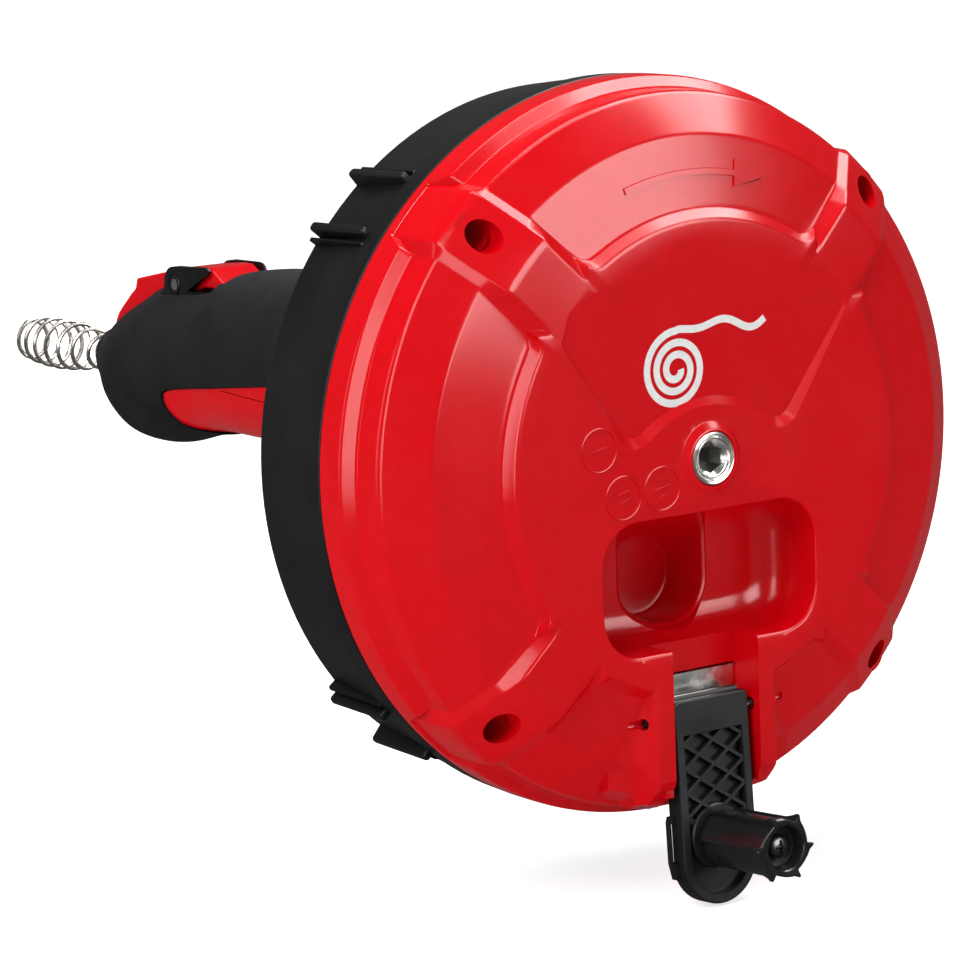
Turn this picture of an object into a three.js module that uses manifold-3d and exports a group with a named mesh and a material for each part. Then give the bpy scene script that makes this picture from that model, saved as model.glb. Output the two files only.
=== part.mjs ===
// A hand or drill driven drain snake: a drum that holds a coiled cable, turned by a hex socket or by a
// folding crank, and a grip that the drum spins in. Millimetres, +Z up, drum axis along Y.
// The origin is the middle of the floor of the hex drive socket. The grip and the cable point to +Y.
import * as THREE from 'three';
import { mergeVertices } from 'three/addons/utils/BufferGeometryUtils.js';
import Module from 'manifold-3d';

const wasm = await Module();
wasm.setup();

const GAP = 0.3; // between pieces that touch
const DRUM_R = 110; // outside of the drum at the seam between its two halves
const SEAM_Y = 30; // from the origin to that seam; everything else is measured from the seam
const WALL = 3;
const SEGMENTS = 48; // around the drum

const FACE_Y = -40.2; // flat middle of the rear cover
const SPOKES = 4;
const SPOKE_HALF_WIDTH = 9.4;
const BOSS_RADIUS = 100; // of the circle that the cover screws stand on
const BOSS_HOLE_R = 4.75;

const COUPLER_R = 8;
const HEX_FLATS = 8; // across the flats of the drive socket
const HEX_DEPTH = 12;

const POCKET_X = [-40, 39]; // finger pocket in the cover's face
const POCKET_Z = [-55.2, -15.6];
const POCKET_CORNER_R = 13;
const POCKET_FLOOR_Y = -20;
const WELL_Z = -39.5; // middle of the hole that takes the folded knob
const WELL_R = 12.25;
const WELL_FLOOR_Y = -2.2;

const CHANNEL_HALF_WIDTH = 16; // the crank lies in this channel
const CHANNEL_FLOOR_Y = -25.5;
const CHEEK_HALF_WIDTH = 24.5; // outside of the two cheeks that hold the hinge pin
const CHEEK_END_Z = -97;
const PIN_Y = -35.8;
const PIN_Z = -76.2;
const PIN_R = 1.5;

const CRANK_LEAN = THREE.MathUtils.degToRad(3.5); // the hanging crank leans out from the cover
const ARM_HALF_WIDTH = 13.8;
const ARM_FRONT = -1.7; // faces and ends of the arm, from the hinge pin
const ARM_BACK = 4.5;
const ARM_TOP = 4.9;
const ARM_END_CENTRE = -43.7;
const KNOB_DROP = -37; // from the hinge pin down the arm to the knob
const KNOB_TIP = -32.4; // from the hinge pin out to the end of the knob
const KNOB_R = 8.8;
const KNOB_LIP_R = 10.7;
const STUD_R = 2.3;

const DRUM_FRONT_Y = 37; // where the black side wall ends
const DRUM_FRONT_R = 105.8;
const HUB_Y = 52; // front end of the drum's hub
const LUG_TURN = 5.3; // degrees from a screw to the lug on either side of it
const COIL_RADII = [62, 92];
const COIL_Y = [0, 33];
const SPINDLE_R = 13;
const SPINDLE_END_Y = 104;
const CABLE_R = 4;
const BUSH_R = 6.4; // outside of the steel bush in the nose of the grip

const GRIP_START_Y = 56;
const GRIP_END_Y = 295;
const GRIP_WIDTH_RATIO = 0.86; // grip width over grip height
const RUBBER = 2.4;
const WINDOW_FRONT_Y = 230; // the rubber covers all of the grip in front of here

const LEVER_PIN_Y = 232;
const LEVER_PIN_Z = 30.5;
const LEVER_HALF_WIDTH = 9;

const BULB_START_Y = 299;
const BULB_LENGTH = 57;
const BULB_TURNS = 7.3;
const BULB_WIRE_R = 0.75;

const COLOURS = {
  red: { color: 0xc4060f, roughness: 0.28, metalness: 0 },
  black: { color: 0x19191b, roughness: 0.5, metalness: 0 },
  rubber: { color: 0x1c1c1f, roughness: 0.85, metalness: 0 },
  steel: { color: 0xb4b2ac, roughness: 0.25, metalness: 1 },
  zinc: { color: 0x8f9093, roughness: 0.4, metalness: 1 },
  bronze: { color: 0xa67c46, roughness: 0.45, metalness: 1 },
};

// ---- solids -------------------------------------------------------------------------------------

function toSolid(geometry) {
  const bare = geometry.clone();
  bare.deleteAttribute('normal');
  bare.deleteAttribute('uv');
  const merged = mergeVertices(bare, 1e-4);
  const index = Uint32Array.from(merged.index.array);
  const positions = Float32Array.from(merged.attributes.position.array);
  if (signedVolume(positions, index) < 0) turnOver(index);
  return new wasm.Manifold(new wasm.Mesh({ numProp: 3, vertProperties: positions, triVerts: index }));
}

function signedVolume(positions, index) {
  const corner = [new THREE.Vector3(), new THREE.Vector3(), new THREE.Vector3()];
  let volume = 0;
  for (let i = 0; i < index.length; i += 3) {
    corner.forEach((point, k) => point.fromArray(positions, 3 * index[i + k]));
    volume += corner[0].dot(corner[1].clone().cross(corner[2])) / 6;
  }
  return volume;
}

function turnOver(index) {
  for (let i = 0; i < index.length; i += 3) {
    [index[i + 1], index[i + 2]] = [index[i + 2], index[i + 1]];
  }
}

function toGeometry(solid) {
  const mesh = solid.getMesh();
  const geometry = new THREE.BufferGeometry();
  geometry.setAttribute('position', new THREE.BufferAttribute(mesh.vertProperties, 3));
  geometry.setIndex(new THREE.BufferAttribute(mesh.triVerts, 1));
  geometry.computeVertexNormals();
  return geometry;
}

function join(...solids) {
  return solids.reduce((sum, solid) => sum.add(solid));
}

function cut(solid, ...tools) {
  return tools.reduce((rest, tool) => rest.subtract(tool), solid);
}

// A turned solid about the Y axis, from [radius, y] points.
function turned(points, segments = SEGMENTS) {
  const profile = points.map(([r, y]) => new THREE.Vector2(r, y));
  return toSolid(new THREE.LatheGeometry(profile, segments));
}

// A plain rod along Y, or a tube where it has a bore.
function rod(radius, y0, y1, segments = 16) {
  return turned([[0, y0], [radius, y0], [radius, y1], [0, y1]], segments);
}

function tube(radius, bore, y0, y1, segments = 20) {
  return turned([[bore, y0], [radius, y0], [radius, y1], [bore, y1], [bore, y0]], segments);
}

function box(x, y, z) {
  const size = [x, y, z].map(([low, high]) => high - low);
  const middle = [x, y, z].map(([low, high]) => (low + high) / 2);
  return toSolid(new THREE.BoxGeometry(...size).translate(...middle));
}

// An outline in X and Z, made thick from y0 to y1.
function plate(shape, y0, y1, curveSegments = 8) {
  const options = { depth: y1 - y0, bevelEnabled: false, curveSegments };
  const geometry = new THREE.ExtrudeGeometry(shape, options);
  return toSolid(geometry.rotateX(Math.PI / 2).translate(0, y1, 0));
}

// An outline of [y, z] points, made thick from x0 to x1.
function sidePlate(points, x0, x1) {
  const shape = new THREE.Shape(points.map(([y, z]) => new THREE.Vector2(y, z)));
  const geometry = new THREE.ExtrudeGeometry(shape, { depth: x1 - x0, bevelEnabled: false });
  const turnedUp = new THREE.Matrix4().set(0, 0, 1, x0, 1, 0, 0, 0, 0, 1, 0, 0, 0, 0, 0, 1);
  return toSolid(geometry.applyMatrix4(turnedUp));
}

function roundedRectangle(x, z, radius) {
  const shape = new THREE.Shape();
  const corners = [[x[1], z[0], -90], [x[1], z[1], 0], [x[0], z[1], 90], [x[0], z[0], 180]];
  for (const [cornerX, cornerZ, start] of corners) {
    const centreX = cornerX - Math.sign(cornerX - (x[0] + x[1]) / 2) * radius;
    const centreZ = cornerZ - Math.sign(cornerZ - (z[0] + z[1]) / 2) * radius;
    const from = THREE.MathUtils.degToRad(start);
    shape.absarc(centreX, centreZ, radius, from, from + Math.PI / 2, false);
  }
  shape.closePath();
  return shape;
}

function hexagon(acrossFlats, y0, y1) {
  return rod(acrossFlats / Math.sqrt(3), y0, y1, 6);
}

function placed(solid, x, y, z) {
  return solid.translate([x, y, z]);
}

function crossRod(radius, x0, x1, y, z, segments = 16) {
  return placed(rod(radius, x0, x1, segments).rotate([0, 0, -90]), 0, y, z);
}

function aroundDrum(solid, index) {
  return solid.rotate([0, 45 + (360 / SPOKES) * index, 0]);
}

function mesh(name, solid, finish) {
  const item = new THREE.Mesh(toGeometry(solid), new THREE.MeshStandardMaterial(COLOURS[finish]));
  item.name = name;
  return item;
}

// ---- rear cover and what it carries -------------------------------------------------------------

// The turned dish: outside from the middle of the face to the rim, then the inside back again.
function coverDish() {
  return turned([
    [0, FACE_Y], [65, FACE_Y], [70.1, -40], [73, -36.2], [93.7, -32.5], [106, -23.5],
    [106.5, -13.7], [DRUM_R, -10.3], [DRUM_R, -GAP / 2],
    [DRUM_R - WALL, -GAP / 2], [DRUM_R - WALL, -9], [106.5 - WALL, -12.4], [106 - WALL, -22],
    [92.3, -29.6], [71, -33.3], [68, -37.2], [0, FACE_Y + WALL],
  ]);
}

// One raised spoke along +X, with the post that takes its screw.
function spoke() {
  const outline = [[62, FACE_Y], [88.5, -38.3], [106, -25.5], [108.6, -22], [109.2, -3.5],
    [104, -3.5], [103.4, -21], [88, -32.5], [62, -36]];
  const shape = new THREE.Shape(outline.map(([r, y]) => new THREE.Vector2(r, y)));
  const options = { depth: 2 * SPOKE_HALF_WIDTH, bevelEnabled: false };
  const ridge = toSolid(new THREE.ExtrudeGeometry(shape, options).translate(0, 0, -SPOKE_HALF_WIDTH));
  const post = placed(rod(7.4, -31, -GAP / 2), BOSS_RADIUS, 0, 0);
  return ridge.add(post);
}

function pocketHollow(grow) {
  const x = [POCKET_X[0] - grow, POCKET_X[1] + grow];
  const z = [POCKET_Z[0] - grow, POCKET_Z[1] + grow];
  const front = grow > 0 ? FACE_Y + 1 : FACE_Y - 2;
  return plate(roundedRectangle(x, z, POCKET_CORNER_R + grow), front, POCKET_FLOOR_Y + grow);
}

// The well goes straight down, and opens upward so that the knob can swing in on the crank.
function wellHollow(grow) {
  const top = POCKET_FLOOR_Y - 0.5;
  const floor = WELL_FLOOR_Y + grow;
  const sideways = WELL_R + grow - 0.5;
  const bore = placed(rod(WELL_R + grow, top, floor, 20), 0, 0, WELL_Z);
  const ramp = sidePlate([[top, WELL_Z], [floor, WELL_Z], [floor, -28 + grow], [-10, -23.5 + grow],
    [top, -19.5 + grow]], -sideways, sideways);
  return bore.add(ramp);
}

function rearCover() {
  let cover = coverDish();
  for (let i = 0; i < SPOKES; i += 1) cover = cover.add(aroundDrum(spoke(), i));
  const cheeks = box([-CHEEK_HALF_WIDTH, CHEEK_HALF_WIDTH], [FACE_Y, CHANNEL_FLOOR_Y + WALL],
    [CHEEK_END_Z, POCKET_Z[0]]);
  const collar = turned([[0, -42], [8.9, -42], [10.9, FACE_Y], [13, FACE_Y], [13, -21], [0, -21]], 24);
  cover = join(cover, cheeks, collar, pocketHollow(WALL), wellHollow(WALL));
  const channel = box([-CHANNEL_HALF_WIDTH, CHANNEL_HALF_WIDTH], [FACE_Y - 2, CHANNEL_FLOOR_Y],
    [-DRUM_R - 2, POCKET_Z[0] - 9.5]);
  const throat = box([-CHANNEL_HALF_WIDTH, CHANNEL_HALF_WIDTH], [FACE_Y - 2, -28.9],
    [POCKET_Z[0] - 10, POCKET_Z[0] + 5]);
  const couplerBore = rod(COUPLER_R + GAP, -43, -24);
  const shankBore = rod(5 + GAP, -25, -20);
  const pinBore = crossRod(PIN_R + GAP, -CHEEK_HALF_WIDTH - 1, CHEEK_HALF_WIDTH + 1, PIN_Y, PIN_Z);
  cover = cut(cover, pocketHollow(0), wellHollow(0), channel, throat, couplerBore, shankBore, pinBore);
  for (let i = 0; i < SPOKES; i += 1) {
    const headBore = placed(rod(BOSS_HOLE_R, -45, -9), BOSS_RADIUS, 0, 0);
    const shankHole = placed(rod(2.6, -10, 1, 10), BOSS_RADIUS, 0, 0);
    cover = cut(cover, aroundDrum(headBore, i), aroundDrum(shankHole, i));
  }
  return cover;
}

function coverScrew(index) {
  const head = rod(4.2, -13.5, -9 - GAP, 12);
  const shank = rod(2, -9.5, 12, 8);
  const drive = hexagon(3, -14, -11.5);
  return aroundDrum(placed(cut(head.add(shank), drive), BOSS_RADIUS, 0, 0), index);
}

function driveCoupler() {
  const face = -SEAM_Y - HEX_DEPTH;
  const body = turned([[0, face], [7.3, face], [COUPLER_R, face + 0.7], [COUPLER_R, -24 - GAP],
    [5, -24 - GAP], [5, -9], [0, -9]], 24);
  return cut(body, hexagon(HEX_FLATS, face - 1, -SEAM_Y));
}

function couplerNut() {
  return cut(hexagon(17, -19, -12.5), rod(5 + GAP, -20, -11));
}

function detentLeaf() {
  const halfWidth = CHANNEL_HALF_WIDTH - GAP;
  const leaf = sidePlate([[-28.6, -65.2], [-27.8, -65.2], [-27.8, -80], [CHANNEL_FLOOR_Y - GAP, -84],
    [CHANNEL_FLOOR_Y - GAP, -92], [-26.6, -92], [-26.6, -84.4], [-28.6, -80.6]], -halfWidth, halfWidth);
  return leaf;
}

function crankPin() {
  return crossRod(PIN_R, -CHEEK_HALF_WIDTH + 1, CHEEK_HALF_WIDTH - 1, PIN_Y, PIN_Z);
}

// ---- crank, drawn about its hinge pin, hanging straight down ------------------------------------

function armOutline() {
  const halfWidth = ARM_HALF_WIDTH;
  const shape = new THREE.Shape();
  shape.moveTo(halfWidth, ARM_TOP);
  shape.lineTo(-halfWidth, ARM_TOP);
  shape.absarc(0, ARM_END_CENTRE, halfWidth, Math.PI, 2 * Math.PI, false);
  shape.closePath();
  return shape;
}

function crankArm() {
  const plain = plate(armOutline(), ARM_FRONT, ARM_BACK, 10);
  const knuckle = box([-ARM_HALF_WIDTH + 1.5, ARM_HALF_WIDTH - 1.5], [0.9, ARM_BACK - 0.7], [0, 5.6]);
  const lattice = plate(roundedRectangle([-11, 11], [-30.5, -5.5], 1.5), ARM_FRONT - 1, 0.6, 3);
  const back = plate(roundedRectangle([-11, 11], [-50, -5.5], 3), 2.6, ARM_BACK + 1, 3);
  const pinHole = crossRod(PIN_R + GAP, -20, 20, 0, 0);
  const studHole = placed(rod(STUD_R + GAP, -5, 6, 16), 0, 0, KNOB_DROP);
  const boss = placed(rod(5.5, ARM_FRONT + 0.5, ARM_BACK, 20), 0, 0, KNOB_DROP);
  const body = join(cut(join(plain, knuckle), lattice, back), boss);
  return cut(body, pinHole, studHole);
}

function knobProfile() {
  const base = ARM_FRONT - 1.4;
  const lip = KNOB_TIP + 5;
  const bore = STUD_R + GAP;
  return turned([[bore, base], [KNOB_R, base], [KNOB_R, lip + 3], [KNOB_LIP_R, lip],
    [KNOB_LIP_R, KNOB_TIP + 0.6], [KNOB_LIP_R - 0.6, KNOB_TIP], [6.2, KNOB_TIP], [6.2, KNOB_TIP + 5],
    [bore, KNOB_TIP + 5], [bore, base]], 24);
}

function knobScrew() {
  const seat = KNOB_TIP + 5 - GAP;
  const head = rod(3.8, seat - 2.2, seat, 20);
  const shank = rod(STUD_R, seat - 1, ARM_BACK - 0.4, 16);
  const slots = [[3, 0.55], [0.55, 3]].map(([x, z]) => box([-x, x], [seat - 3, seat - 1.1], [-z, z]));
  return cut(head.add(shank), ...slots);
}

// ---- front drum and the cable -------------------------------------------------------------------

function frontDrum() {
  let drum = turned([
    [DRUM_R, GAP / 2], [109.6, 8.4], [DRUM_FRONT_R, DRUM_FRONT_Y], [102.5, 40], [60, 44], [34, 47],
    [27, HUB_Y], [SPINDLE_R + GAP, HUB_Y], [SPINDLE_R + GAP, 46], [23.4, 46], [25, 43], [60, 40.5],
    [101, 36.4], [DRUM_FRONT_R - WALL, 34], [106.4, 8], [DRUM_R - WALL, GAP / 2], [DRUM_R, GAP / 2],
  ]);
  for (let i = 0; i < SPOKES; i += 1) {
    const post = cut(rod(6.4, GAP / 2, 36.6, 12), rod(2 + GAP, -1, 14, 8));
    drum = drum.add(aroundDrum(placed(post, BOSS_RADIUS, 0, 0), i));
    for (const turn of [-LUG_TURN, LUG_TURN]) {
      const lug = box([DRUM_FRONT_R - 2, DRUM_R + 2.2], [7.5, DRUM_FRONT_Y - 1.5], [-1.6, 1.6]);
      drum = drum.add(aroundDrum(lug.rotate([0, turn, 0]), i));
    }
  }
  return drum;
}

function cableCoil() {
  const [inner, outer] = COIL_RADII;
  const [back, front] = COIL_Y;
  return turned([[inner, back + 3], [inner + 3, back], [outer - 3, back], [outer, back + 3],
    [outer, front - 3], [outer - 3, front], [inner + 3, front], [inner, front - 3], [inner, back + 3]],
  32);
}

// A round tube along a curve, with flat ends.
function tubeAlong(curve, radius, sides, steps) {
  const section = new THREE.Shape();
  section.absarc(0, 0, radius, 0, 2 * Math.PI, false);
  const ring = new THREE.Shape(section.getSpacedPoints(sides).slice(0, sides));
  return toSolid(new THREE.ExtrudeGeometry(ring, { steps, extrudePath: curve, bevelEnabled: false }));
}

// The cable leaves the inside of the coil, turns in to the axis and enters the spindle.
function cableRun() {
  const points = [[56, 9, -8], [54, 12, 16], [39, 18, 33], [19, 25, 30], [5, 32, 14], [0.5, 39, 3],
    [0, 46, 0], [0, 54, 0], [0, 62, 0]];
  const curve = new THREE.CatmullRomCurve3(points.map((point) => new THREE.Vector3(...point)));
  return tubeAlong(curve, CABLE_R, 8, 18);
}

function drumSpindle() {
  return turned([
    [9, 44], [23, 44.2], [23, 45.7], [SPINDLE_R, 45.7], [SPINDLE_R, SPINDLE_END_Y],
    [CABLE_R + 1.2, SPINDLE_END_Y], [CABLE_R + 1.2, 52], [9, 44],
  ], 24);
}

// The barrel shape of the wire bulb at the cable's end, and the wire wound on it.
function bulbRadius(along) {
  return 5.05 + 13.4 * along - 12.2 * along * along;
}

class BulbCurve extends THREE.Curve {
  getPoint(along, target = new THREE.Vector3()) {
    const angle = 2 * Math.PI * BULB_TURNS * along;
    const radius = bulbRadius(along);
    const y = BULB_START_Y + BULB_LENGTH * (1.2 * along - 0.2 * along * along);
    return target.set(radius * Math.cos(angle), y, radius * Math.sin(angle));
  }
}

function bulbHead() {
  return tubeAlong(new BulbCurve(), BULB_WIRE_R, 6, Math.round(BULB_TURNS * 11));
}

// ---- grip ---------------------------------------------------------------------------------------

// Along the grip: y, half its height, and how high its middle stands over the cable.
const GRIP_PROFILE = [[GRIP_START_Y, 32, 0], [60, 34, 0], [64, 34, 0], [70, 28.5, 1.5], [84, 26.5, 4],
  [110, 27.5, 8], [150, 29, 9.8], [173, 29.5, 9.5], [196, 28.7, 8.1], [212, 27, 6.7], [227, 27.4, 5],
  [241, 28.6, 2.7], [256, 26.5, -0.8], [267, 23.9, -2.7], [278, 19.3, -3], [288, 13, -2.4],
  [GRIP_END_Y, 9.4, -0.8]];

function gripRise(y) {
  const next = Math.max(1, GRIP_PROFILE.findIndex((station) => station[0] >= y));
  const [y0, , rise0] = GRIP_PROFILE[next - 1];
  const [y1, , rise1] = GRIP_PROFILE[next];
  return THREE.MathUtils.mapLinear(THREE.MathUtils.clamp(y, y0, y1), y0, y1, rise0, rise1);
}

// The outside of the grip, or a skin that lies deep under it, as a turned shape that is pressed
// narrower than it is high and lifted in the middle.
function gripBody(depth) {
  const points = GRIP_PROFILE.map(([y, radius]) => new THREE.Vector2(radius - depth, y));
  points[0].y += depth;
  points[points.length - 1].y -= depth;
  points.unshift(new THREE.Vector2(0, points[0].y));
  points.push(new THREE.Vector2(0, points[points.length - 1].y));
  const geometry = new THREE.LatheGeometry(points, 24);
  const position = geometry.attributes.position;
  for (let i = 0; i < position.count; i += 1) {
    position.setX(i, position.getX(i) * GRIP_WIDTH_RATIO);
    position.setZ(i, position.getZ(i) + gripRise(position.getY(i)));
  }
  return toSolid(geometry);
}

// What the cable, the spindle and its bush need inside the grip.
function gripBore() {
  return turned([[0, 50], [18 + GAP, 50], [18 + GAP, 90], [16.5, 90], [16.5, 108], [11, 112],
    [11, 256], [6.5, 260], [6.5, 283], [BUSH_R + GAP, 283], [BUSH_R + GAP, 300], [0, 300]], 24);
}

// The gap under the rubber's lower edge, where the bare shells show.
function rubberWindow(grow) {
  const front = WINDOW_FRONT_Y + grow;
  return sidePlate([[40, 5 + grow], [150, 5 + grow], [188, 0.7 + grow], [front - 3, -4.1 + grow],
    [front, -7], [front, -17], [front - 5, -19.5], [215 + grow, -20.2], [212, -50], [40, -50]], -50, 50);
}

// The trough along the top that the lever lies and swings in.
function leverTrough(grow) {
  const side = LEVER_HALF_WIDTH + 0.8 + grow;
  const floor = [[204 - grow, 25], [222, 25], [226, 21], [243, 19], [256, 13], [270, 7], [279, 5.5],
    [284 + grow, 7]];
  const points = floor.map(([y, z]) => [y, z - grow]);
  return sidePlate([...points, [284 + grow, 60], [204 - grow, 60]], -side, side);
}

function shellBoth() {
  const core = gripBody(RUBBER + GAP);
  const bare = gripBody(0).intersect(rubberWindow(-GAP));
  const screws = [];
  for (const [y, z] of GRIP_SCREWS) {
    screws.push(placed(rod(3.5, 12, 40, 12).rotate([0, 0, -90]), 0, y, z));
    screws.push(crossRod(1.9, -8, 20, y, z, 8));
  }
  const jawWay = box([-5, 5], [261, 274], [0, 30]);
  return cut(core.add(bare), gripBore(), leverTrough(0), jawWay, bracketSeat(GAP), ...screws);
}

function gripShell(side) {
  const half = side < 0 ? [-60, -GAP / 2] : [GAP / 2, 60];
  return shellBoth().intersect(box(half, [0, 400], [-80, 80]));
}

function gripRubber() {
  const sleeve = cut(gripBody(0), gripBody(RUBBER), rubberWindow(0));
  return cut(sleeve, leverTrough(0), rod(BUSH_R + GAP, 280, 320), rod(27, 50, 66), bracketSeat(GAP));
}

const GRIP_SCREWS = [[122, -12.6], [160, -12.6], [212, -12]]; // y and z of the screws along the grip

function gripScrew([y, z]) {
  const head = rod(3.2, 12 + GAP, 15, 12);
  const shank = rod(1.6, -7, 12.5, 8);
  const screw = cut(head.add(shank), hexagon(2.5, 13.6, 16));
  return placed(screw.rotate([0, 0, -90]), 0, y, z);
}

// ---- lever --------------------------------------------------------------------------------------

const LEVER_OUTLINE = [[205, 30], [205, 36.8], [219, 36.8], [232, 35.9], [244.4, 33.4], [254, 31.6],
  [263.1, 29.8], [264.1, 26.5], [270.5, 21.8], [276.4, 17.1], [278.8, 13.2], [276, 12], [268, 16],
  [256, 22], [243, 26], [228, 27], [219, 30]];

function lever() {
  const body = sidePlate(LEVER_OUTLINE, -LEVER_HALF_WIDTH, LEVER_HALF_WIDTH);
  const jawSlot = box([-4.3, 4.3], [261.6, 272.4], [5, 21.3]);
  return cut(body, crossRod(2 + GAP, -20, 20, LEVER_PIN_Y, LEVER_PIN_Z), jawSlot);
}

function clampJaw() {
  return sidePlate([[262, CABLE_R + 0.6], [272, CABLE_R + 0.6], [272, 17], [262, 21]], -4, 4);
}

function bracketSeat(grow) {
  const side = 13.2 + grow;
  return sidePlate([[208.5 - grow, 22 - grow], [226, 17 - grow], [240 + grow, 17 - grow],
    [240 + grow, 60], [208.5 - grow, 60]], -side, side);
}

// Two ears and the bridge between them, under the lever, that carry the lever's pin.
function leverBracket() {
  const ear = sidePlate([[208.5, 22], [226, 17], [240, 17], [239.5, 29], [237.6, 34], [234, 36.3],
    [230, 36.8], [214, 37.4], [210.4, 36.2], [208.5, 34]], -13.2, 13.2);
  const slot = box([-LEVER_HALF_WIDTH - 0.6, LEVER_HALF_WIDTH + 0.6], [200, 250], [19, 60]);
  return cut(ear, slot, crossRod(2 + GAP, -20, 20, LEVER_PIN_Y, LEVER_PIN_Z), gripBore());
}

class SpringCurve extends THREE.Curve {
  getPoint(along, target = new THREE.Vector3()) {
    const angle = 2 * Math.PI * 3.5 * along;
    const height = 25.8 + 3.4 * along;
    return target.set(3.2 * Math.cos(angle), 213 + 3.2 * Math.sin(angle), height);
  }
}

function leverSpring() {
  return tubeAlong(new SpringCurve(), 0.45, 5, 28);
}

function noseBush() {
  return turned([[4.7, 283 + GAP], [BUSH_R, 283 + GAP], [BUSH_R, 297], [6, 297.4], [5.6, 297],
    [5.2, 288.6], [4.7, 287.5], [4.7, 283 + GAP]], 24);
}

// ---- assembly -----------------------------------------------------------------------------------

function crankGroup() {
  const group = new THREE.Group();
  group.position.set(0, PIN_Y, PIN_Z);
  group.rotation.x = -CRANK_LEAN;
  group.add(mesh('crank_arm', crankArm(), 'black'));
  const atKnob = new THREE.Group();
  atKnob.position.z = KNOB_DROP;
  atKnob.add(mesh('knob', knobProfile(), 'black'));
  atKnob.add(mesh('knob_screw', knobScrew(), 'zinc'));
  const washer = tube(6.5, STUD_R + GAP, ARM_FRONT - 1.1, ARM_FRONT - GAP, 20);
  atKnob.add(mesh('knob_washer', washer, 'steel'));
  group.add(atKnob);
  return group;
}

function drumGroup() {
  const group = new THREE.Group();
  group.add(mesh('rear_cover', rearCover(), 'red'));
  for (let i = 0; i < SPOKES; i += 1) {
    group.add(mesh(`cover_screw_${i + 1}`, coverScrew(i), 'zinc'));
  }
  group.add(mesh('drive_coupler', driveCoupler(), 'steel'));
  group.add(mesh('coupler_washer', tube(10, 5 + GAP, -20.7, -19.3, 24), 'zinc'));
  group.add(mesh('coupler_nut', couplerNut(), 'zinc'));
  group.add(mesh('detent_leaf', detentLeaf(), 'steel'));
  group.add(mesh('crank_pin', crankPin(), 'steel'));
  group.add(mesh('front_drum', frontDrum(), 'black'));
  group.add(mesh('cable_coil', cableCoil(), 'zinc'));
  group.add(mesh('cable_run', cableRun(), 'zinc'));
  group.add(mesh('drum_spindle', drumSpindle(), 'steel'));
  group.add(mesh('spindle_retainer', tube(15.5, SPINDLE_R + GAP, 94, 99, 24), 'zinc'));
  group.add(mesh('cable_lead', rod(CABLE_R, 62 + GAP, 301, 20), 'steel'));
  group.add(mesh('bulb_head', bulbHead(), 'steel'));
  return group;
}

function gripGroup() {
  const group = new THREE.Group();
  group.add(mesh('grip_shell_left', gripShell(-1), 'red'));
  group.add(mesh('grip_shell_right', gripShell(1), 'red'));
  group.add(mesh('grip_rubber', gripRubber(), 'rubber'));
  GRIP_SCREWS.forEach((place, i) => group.add(mesh(`grip_screw_${i + 1}`, gripScrew(place), 'zinc')));
  group.add(mesh('drum_bush', tube(18, SPINDLE_R + GAP, 62, 89, 24), 'bronze'));
  group.add(mesh('nose_bush', noseBush(), 'steel'));
  group.add(mesh('lever_bracket', leverBracket(), 'black'));
  group.add(mesh('lever_pin', crossRod(2, -12.8, 12.8, LEVER_PIN_Y, LEVER_PIN_Z), 'steel'));
  group.add(mesh('lever', lever(), 'red'));
  group.add(mesh('clamp_jaw', clampJaw(), 'steel'));
  group.add(mesh('lever_spring', leverSpring(), 'steel'));
  return group;
}

const snake = new THREE.Group();
snake.position.y = SEAM_Y;
snake.add(drumGroup(), crankGroup(), gripGroup());

export default snake;
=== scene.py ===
import math

import bmesh
import bpy
from mathutils import Matrix, Vector


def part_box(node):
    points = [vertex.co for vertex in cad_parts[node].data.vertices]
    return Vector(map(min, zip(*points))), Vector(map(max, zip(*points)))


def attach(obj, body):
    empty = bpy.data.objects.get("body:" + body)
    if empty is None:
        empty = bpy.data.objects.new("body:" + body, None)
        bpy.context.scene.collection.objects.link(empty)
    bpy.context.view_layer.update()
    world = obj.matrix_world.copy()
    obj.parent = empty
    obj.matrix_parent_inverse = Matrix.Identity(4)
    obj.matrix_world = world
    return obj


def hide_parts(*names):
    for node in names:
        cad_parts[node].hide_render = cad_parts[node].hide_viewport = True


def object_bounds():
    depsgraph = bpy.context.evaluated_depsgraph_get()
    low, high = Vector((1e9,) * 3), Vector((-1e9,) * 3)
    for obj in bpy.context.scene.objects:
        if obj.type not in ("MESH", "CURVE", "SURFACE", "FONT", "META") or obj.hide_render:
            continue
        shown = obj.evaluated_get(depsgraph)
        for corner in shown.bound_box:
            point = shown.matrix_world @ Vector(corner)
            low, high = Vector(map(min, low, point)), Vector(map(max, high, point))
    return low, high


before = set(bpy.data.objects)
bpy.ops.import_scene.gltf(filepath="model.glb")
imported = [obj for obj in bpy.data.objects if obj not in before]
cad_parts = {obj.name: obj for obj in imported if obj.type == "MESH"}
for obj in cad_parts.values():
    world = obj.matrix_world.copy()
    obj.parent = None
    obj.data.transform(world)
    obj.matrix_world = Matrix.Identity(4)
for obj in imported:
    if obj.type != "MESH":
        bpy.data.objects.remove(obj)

cadBounds = [list(corner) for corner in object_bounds()]
mm = 0.001
fullTurn = 2 * math.pi

# Every piece is drawn in millimetres from the seam of the drum, on its axis, then put in its place.
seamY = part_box("front_drum")[0][1] - 0.15 * mm
seamPlace = Matrix.Translation((0, seamY, 0)) @ Matrix.Scale(mm, 4)


def boxMiddle(node):
    low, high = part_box(node)
    return (low + high) / 2


crankPin = boxMiddle("crank_pin")
leverPin = boxMiddle("lever_pin")


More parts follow.
